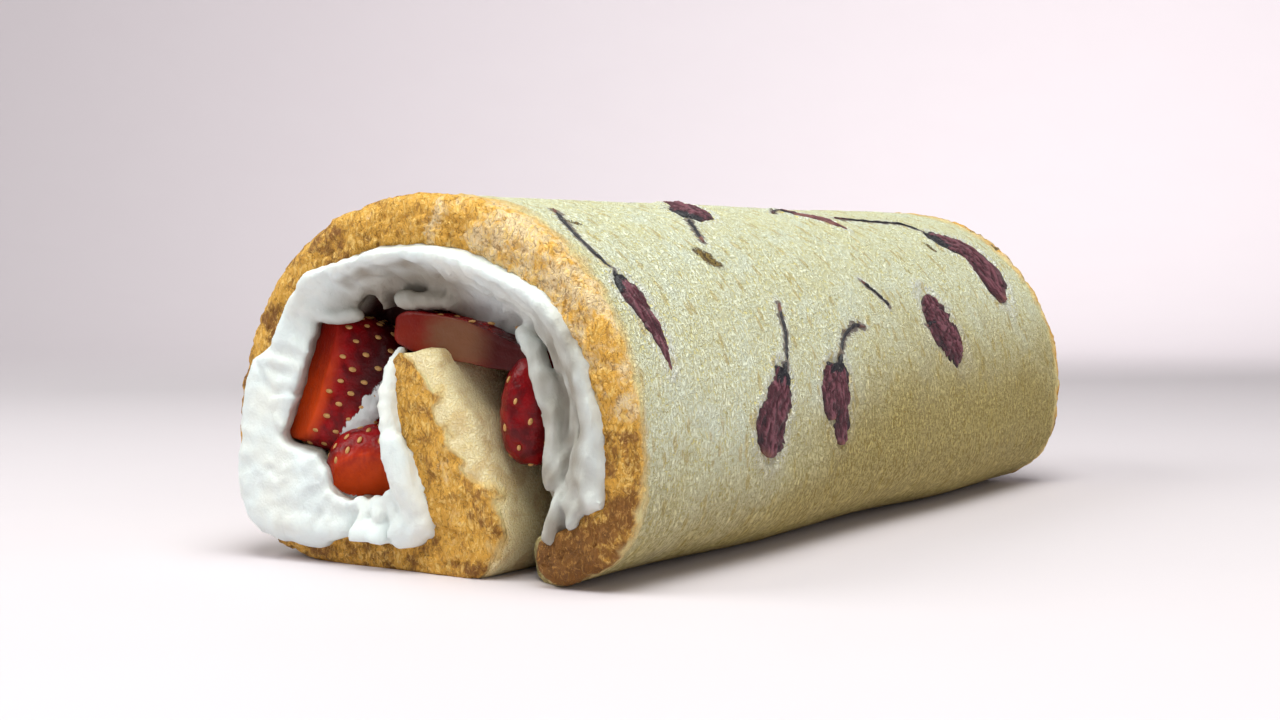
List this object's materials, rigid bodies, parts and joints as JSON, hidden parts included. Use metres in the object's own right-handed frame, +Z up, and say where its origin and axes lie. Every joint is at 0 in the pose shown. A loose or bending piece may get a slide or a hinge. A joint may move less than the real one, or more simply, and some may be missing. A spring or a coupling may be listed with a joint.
{
  "type": "swiss roll cake",
  "caption": "Whole swiss roll cake, open at both ends, with a pale sponge sheet rolled round whipped cream and cut strawberries and cherry blossoms baked into its skin.",
  "frame": {"origin": "under the middle of the cake, on the surface that it stands on", "axes": "+Z up, the roll lies along Y with its show end at -Y, and +X is to the right of someone who faces the show end"},
  "size_m": [0.1181, 0.2635, 0.0885],
  "materials": {
    "sponge": "baked sponge, pale fine-grained skin, browned crumbly ends",
    "cream": "whipped cream, soft satin",
    "strawberry": "wet glossy fruit",
    "blossom": "salted petals, thin and wrinkled"
  },
  "bodies": {
    "root": {"sponge": "sponge", "cream": "cream", "strawberry_show_half": "strawberry", "strawberry_show_tip": "strawberry", "strawberry_show_slice": "strawberry", "strawberry_show_side": "strawberry", "strawberry_far_half": "strawberry", "strawberry_far_tip": "strawberry", "strawberry_far_slice": "strawberry", "strawberry_far_side": "strawberry", "blossom_1": "blossom", "blossom_2": "blossom", "blossom_3": "blossom", "blossom_4": "blossom", "blossom_5": "blossom", "blossom_6": "blossom", "blossom_7": "blossom", "blossom_8": "blossom", "blossom_9": "blossom", "blossom_10": "blossom", "blossom_11": "blossom", "blossom_12": "blossom"}
  },
  "joints": []
}
